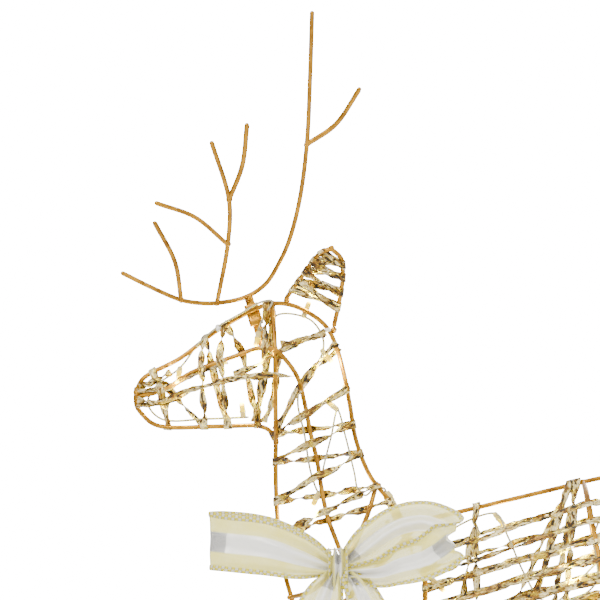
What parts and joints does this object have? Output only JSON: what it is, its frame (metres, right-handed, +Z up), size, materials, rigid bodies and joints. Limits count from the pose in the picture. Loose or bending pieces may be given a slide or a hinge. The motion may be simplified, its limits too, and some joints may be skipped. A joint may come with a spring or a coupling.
{
  "type": "light up yard reindeer",
  "caption": "Standing wire-frame yard reindeer wound with foil strips, with a lamp string inside, ribbon bow, plug-in antlers, plug-in neck and folding legs.",
  "frame": {"origin": "on the ground under the middle of the whole object's box", "axes": "+Z up, nose towards -X, the deer's left side (the side with the bow) towards -Y"},
  "size_m": [0.6824, 0.2244, 1.1988],
  "materials": {
    "frame_wire": "bronze-gold glitter paint over welded steel wire",
    "foil_strip": "metallised champagne-gold plastic foil",
    "cable": "clear to cream lamp cable",
    "connector": "moulded cream plastic",
    "lamp_glass": "warm mini lamp",
    "ribbon": "sheer cream-gold organza with a satin stripe",
    "zinc": "zinc plated"
  },
  "bodies": {
    "body": {"body_frame": "frame_wire", "neck_sleeve_throat": "frame_wire", "neck_sleeve_nape": "frame_wire", "thumbscrew_throat": "zinc", "thumbscrew_nape": "zinc", "hinge_bolt_front_left": "zinc", "hinge_bolt_front_right": "zinc", "hinge_bolt_hind_left": "zinc", "hinge_bolt_hind_right": "zinc", "wing_nut_front_left": "zinc", "wing_nut_front_right": "zinc", "wing_nut_hind_left": "zinc", "wing_nut_hind_right": "zinc", "strip_body_left": "foil_strip", "strip_body_right": "foil_strip", "strip_girth": "foil_strip", "tail_loop": "frame_wire", "strip_tail": "foil_strip", "light_cable_body": "cable", "string_socket": "connector", "string_inlet": "connector", "lamp_08": "lamp_glass", "lamp_09": "lamp_glass", "lamp_10": "lamp_glass", "lamp_11": "lamp_glass", "lamp_12": "lamp_glass"},
    "head_neck": {"head_neck_frame": "frame_wire", "ear_left": "frame_wire", "ear_right": "frame_wire", "strip_ear_left": "foil_strip", "strip_ear_right": "foil_strip", "antler_socket": "frame_wire", "strip_neck": "foil_strip", "strip_head": "foil_strip", "light_cable_head": "cable", "string_plug": "connector", "bow_loop_left": "ribbon", "bow_loop_right": "ribbon", "bow_tail_left": "ribbon", "bow_tail_right": "ribbon", "bow_knot": "ribbon", "bow_tie": "frame_wire", "lamp_01": "lamp_glass", "lamp_02": "lamp_glass", "lamp_03": "lamp_glass", "lamp_04": "lamp_glass", "lamp_05": "lamp_glass", "lamp_06": "lamp_glass", "lamp_07": "lamp_glass"},
    "antlers": {"antler_stem": "frame_wire", "antler_left": "frame_wire", "antler_right": "frame_wire"},
    "leg_front_left": {"leg_front_left": "frame_wire", "strip_leg_front_left": "foil_strip"},
    "leg_front_right": {"leg_front_right": "frame_wire", "strip_leg_front_right": "foil_strip"},
    "leg_hind_left": {"leg_hind_left": "frame_wire", "strip_leg_hind_left": "foil_strip"},
    "leg_hind_right": {"leg_hind_right": "frame_wire", "strip_leg_hind_right": "foil_strip"}
  },
  "joints": [
    {"name": "neck_plug", "type": "slide", "parent": "body", "child": "head_neck", "axis": [-0.4226, 0, 0.9063], "range_m": [0, 0.028]},
    {"name": "antler_plug", "type": "slide", "parent": "head_neck", "child": "antlers", "axis": [-0.2924, 0, 0.9563], "range_m": [0, 0.015]},
    {"name": "leg_front_left_fold", "type": "hinge", "parent": "body", "child": "leg_front_left", "pos_m": [-0.052, -0.046, 0.528], "axis": [0, -1, 0], "range_deg": [0, 84]},
    {"name": "leg_front_right_fold", "type": "hinge", "parent": "body", "child": "leg_front_right", "pos_m": [-0.052, 0.046, 0.528], "axis": [0, -1, 0], "range_deg": [0, 84]},
    {"name": "leg_hind_left_fold", "type": "hinge", "parent": "body", "child": "leg_hind_left", "pos_m": [0.228, -0.062, 0.566], "axis": [0, 1, 0], "range_deg": [0, 84]},
    {"name": "leg_hind_right_fold", "type": "hinge", "parent": "body", "child": "leg_hind_right", "pos_m": [0.228, 0.062, 0.566], "axis": [0, 1, 0], "range_deg": [0, 84]}
  ]
}
